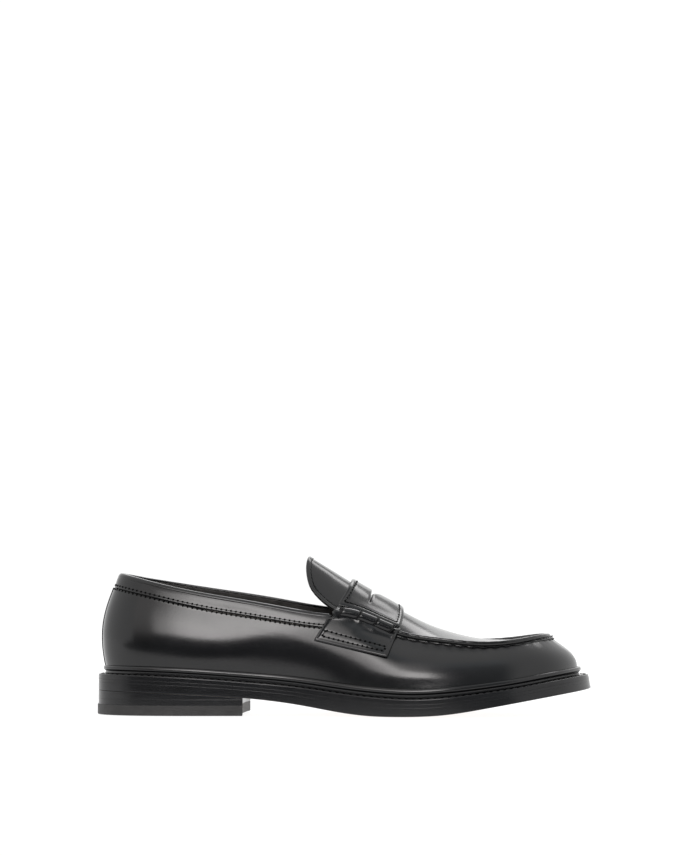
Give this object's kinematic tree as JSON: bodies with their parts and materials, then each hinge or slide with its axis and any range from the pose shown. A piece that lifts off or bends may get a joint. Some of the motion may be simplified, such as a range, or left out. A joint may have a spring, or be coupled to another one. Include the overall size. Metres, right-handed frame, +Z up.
{
  "type": "penny loafer",
  "caption": "Polished slip-on shoe with a raised apron seam, a saddle strap with a coin slot, a welted leather sole and a low stacked heel.",
  "frame": {"origin": "on the floor under the middle of the shoe's overall length and width", "axes": "+X towards the toe, -Y towards the outer (lateral) side, +Z up"},
  "size_m": [0.2995, 0.1089, 0.0951],
  "materials": {
    "upper_leather": "high polish",
    "lining_leather": "matt",
    "sole_leather": "sanded and waxed",
    "sole_edge_leather": "dyed and burnished",
    "insole_leather": "natural",
    "heel_rubber": "satin",
    "cork": "granular cork paste",
    "fibre_board": "pressed fibre board",
    "fabric_tape": "woven cotton",
    "foam": "soft foam",
    "shank_steel": "cold rolled",
    "nail_steel": "drawn wire"
  },
  "bodies": {
    "root": {"outsole": "sole_leather", "midsole": "sole_edge_leather", "welt": "sole_edge_leather", "insole_rib": "fabric_tape", "cork_filler": "cork", "shank": "shank_steel", "insole": "insole_leather", "heel_pad": "foam", "sock_liner": "lining_leather", "heel_nails": "nail_steel", "heel_top_piece": "heel_rubber", "heel_lift_lower": "sole_edge_leather", "heel_lift_wedge": "sole_edge_leather", "rand": "upper_leather", "vamp_and_quarters": "upper_leather", "collar_band": "upper_leather", "heel_seam_strip": "upper_leather", "heel_counter": "fibre_board", "side_backer_outer": "fabric_tape", "toe_puff": "fibre_board", "side_backer_inner": "fabric_tape", "quarter_lining": "lining_leather", "vamp_lining": "lining_leather", "heel_grip": "lining_leather", "topline_binding": "upper_leather", "apron_and_tongue": "upper_leather", "apron_lining": "lining_leather", "apron_ridge": "upper_leather", "strap": "upper_leather", "strap_lining": "lining_leather", "strap_rolls_outer": "upper_leather", "strap_rolls_inner": "upper_leather", "strap_tab_outer": "upper_leather", "strap_tab_inner": "upper_leather"}
  },
  "joints": []
}
